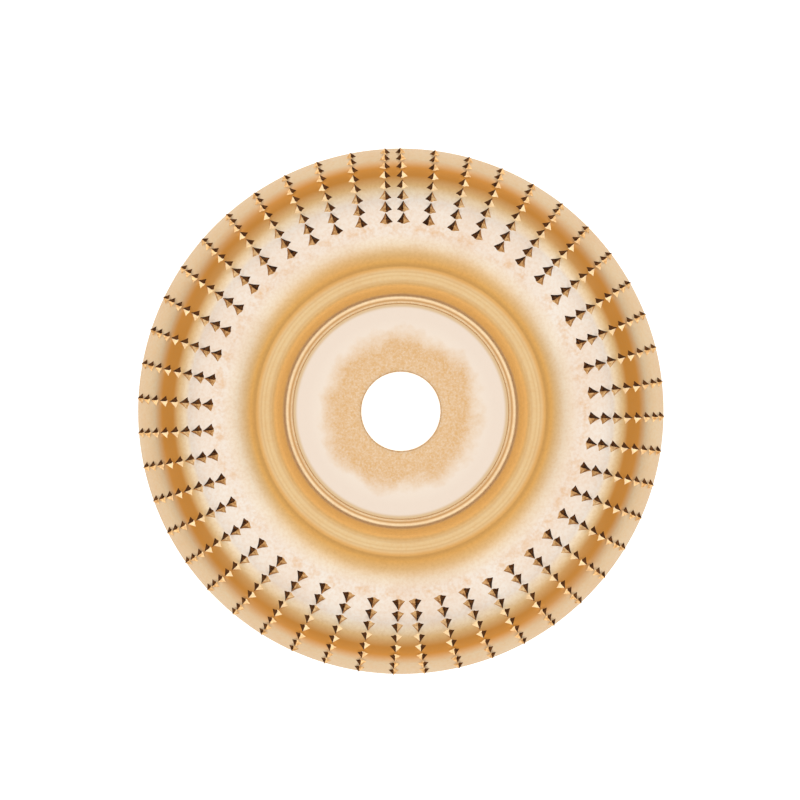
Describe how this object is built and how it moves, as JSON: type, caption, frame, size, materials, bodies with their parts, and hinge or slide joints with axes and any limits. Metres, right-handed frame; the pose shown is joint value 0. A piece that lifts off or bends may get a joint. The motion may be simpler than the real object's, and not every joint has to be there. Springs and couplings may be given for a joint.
{
  "type": "angle grinder carving disc",
  "caption": "Arched rasp disc for an angle grinder: pressed shell with a sunk hub, stiffening washer plate, central bore and radial rows of small three-sided teeth on the arch.",
  "frame": {"origin": "centre of the bore, on the back of the hub, where the grinder's inner flange seats", "axes": "+Z along the spindle axis towards the working side; the YZ plane is the mirror plane between the left and right tooth rows, with the closer double row at +Y"},
  "size_m": [0.107, 0.1069, 0.0114],
  "materials": {
    "shell_steel": "satin gold-tinted pressed steel",
    "plate_steel": "blasted gold-tinted steel, grainy",
    "tooth_steel": "cut steel with darker tint on the cut faces"
  },
  "bodies": {
    "root": {"cutting_shell": "shell_steel", "hub_plate": "plate_steel", "tooth_row_left_01": "tooth_steel", "tooth_row_left_02": "tooth_steel", "tooth_row_left_03": "tooth_steel", "tooth_row_left_04": "tooth_steel", "tooth_row_left_05": "tooth_steel", "tooth_row_left_06": "tooth_steel", "tooth_row_left_07": "tooth_steel", "tooth_row_left_08": "tooth_steel", "tooth_row_left_09": "tooth_steel", "tooth_row_left_10": "tooth_steel", "tooth_row_left_11": "tooth_steel", "tooth_row_left_12": "tooth_steel", "tooth_row_left_13": "tooth_steel", "tooth_row_left_14": "tooth_steel", "tooth_row_left_15": "tooth_steel", "tooth_row_left_16": "tooth_steel", "tooth_row_left_17": "tooth_steel", "tooth_row_left_18": "tooth_steel", "tooth_row_left_19": "tooth_steel", "tooth_row_left_20": "tooth_steel", "tooth_row_left_21": "tooth_steel", "tooth_row_left_22": "tooth_steel", "tooth_row_left_23": "tooth_steel", "tooth_row_left_24": "tooth_steel", "tooth_row_right_01": "tooth_steel", "tooth_row_right_02": "tooth_steel", "tooth_row_right_03": "tooth_steel", "tooth_row_right_04": "tooth_steel", "tooth_row_right_05": "tooth_steel", "tooth_row_right_06": "tooth_steel", "tooth_row_right_07": "tooth_steel", "tooth_row_right_08": "tooth_steel", "tooth_row_right_09": "tooth_steel", "tooth_row_right_10": "tooth_steel", "tooth_row_right_11": "tooth_steel", "tooth_row_right_12": "tooth_steel", "tooth_row_right_13": "tooth_steel", "tooth_row_right_14": "tooth_steel", "tooth_row_right_15": "tooth_steel", "tooth_row_right_16": "tooth_steel", "tooth_row_right_17": "tooth_steel", "tooth_row_right_18": "tooth_steel", "tooth_row_right_19": "tooth_steel", "tooth_row_right_20": "tooth_steel", "tooth_row_right_21": "tooth_steel", "tooth_row_right_22": "tooth_steel", "tooth_row_right_23": "tooth_steel", "tooth_row_right_24": "tooth_steel"}
  },
  "joints": []
}
